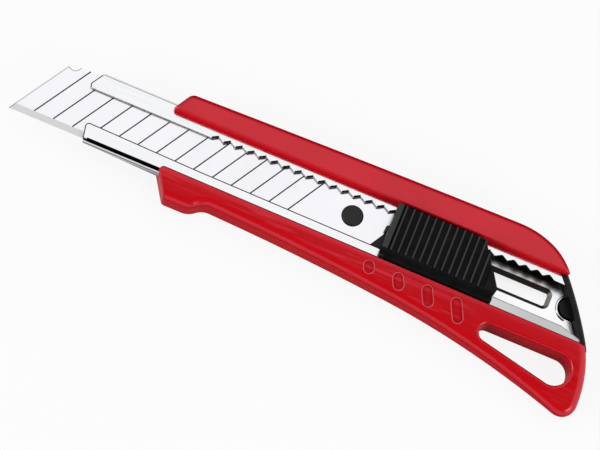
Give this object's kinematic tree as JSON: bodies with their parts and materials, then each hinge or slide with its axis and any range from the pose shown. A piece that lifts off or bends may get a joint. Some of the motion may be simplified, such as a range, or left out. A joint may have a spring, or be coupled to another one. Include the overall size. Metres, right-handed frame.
{
  "type": "snap-off utility knife",
  "caption": "Slim utility knife with a scored snap-off blade in a steel channel, ribbed thumb slider with notch lock, moulded grip with finger loop and a pull-off tail cap.",
  "frame": {"origin": "on the flat back face, under the blade's centre line and at the middle of the handle's length", "axes": "+X from the blade tip to the tail, +Y away from the cutting edge towards the far rail, +Z out of the open face with the thumb slider"},
  "size_m": [0.1687, 0.0435, 0.013],
  "materials": {
    "red_plastic": "satin moulded ABS",
    "stainless": "bright rolled stainless sheet",
    "blade_steel": "polished carbon steel with a ground edge",
    "black_plastic": "matte moulded plastic",
    "spring_steel": "hardened steel"
  },
  "bodies": {
    "body": {"handle": "red_plastic", "blade_channel": "stainless"},
    "carriage": {"blade_carrier": "black_plastic", "snap_blade": "blade_steel", "lock_spring": "spring_steel"},
    "lock": {"lock_tooth": "spring_steel"},
    "thumb": {"thumb_slider": "black_plastic"},
    "cap": {"end_cap": "black_plastic"}
  },
  "joints": [
    {"name": "blade_slide", "type": "slide", "parent": "body", "child": "carriage", "axis": [-1, 0, 0], "range_m": [-0.0238, 0.0374]},
    {"name": "thumb_shift", "type": "slide", "parent": "carriage", "child": "thumb", "axis": [1, 0, 0], "range_m": [0, 0.0012], "stiffness_N_per_m": 800},
    {"name": "lock_release", "type": "slide", "parent": "carriage", "child": "lock", "axis": [0, -1, 0], "range_m": [0, 0.00108], "deforming": ["lock_spring"]},
    {"name": "cap_pull", "type": "slide", "parent": "body", "child": "cap", "axis": [1, 0, 0], "range_m": [0, 0.016]}
  ],
  "couplings": [
    {"joint": "lock_release", "follows": "thumb_shift", "ratio": 0.9}
  ]
}
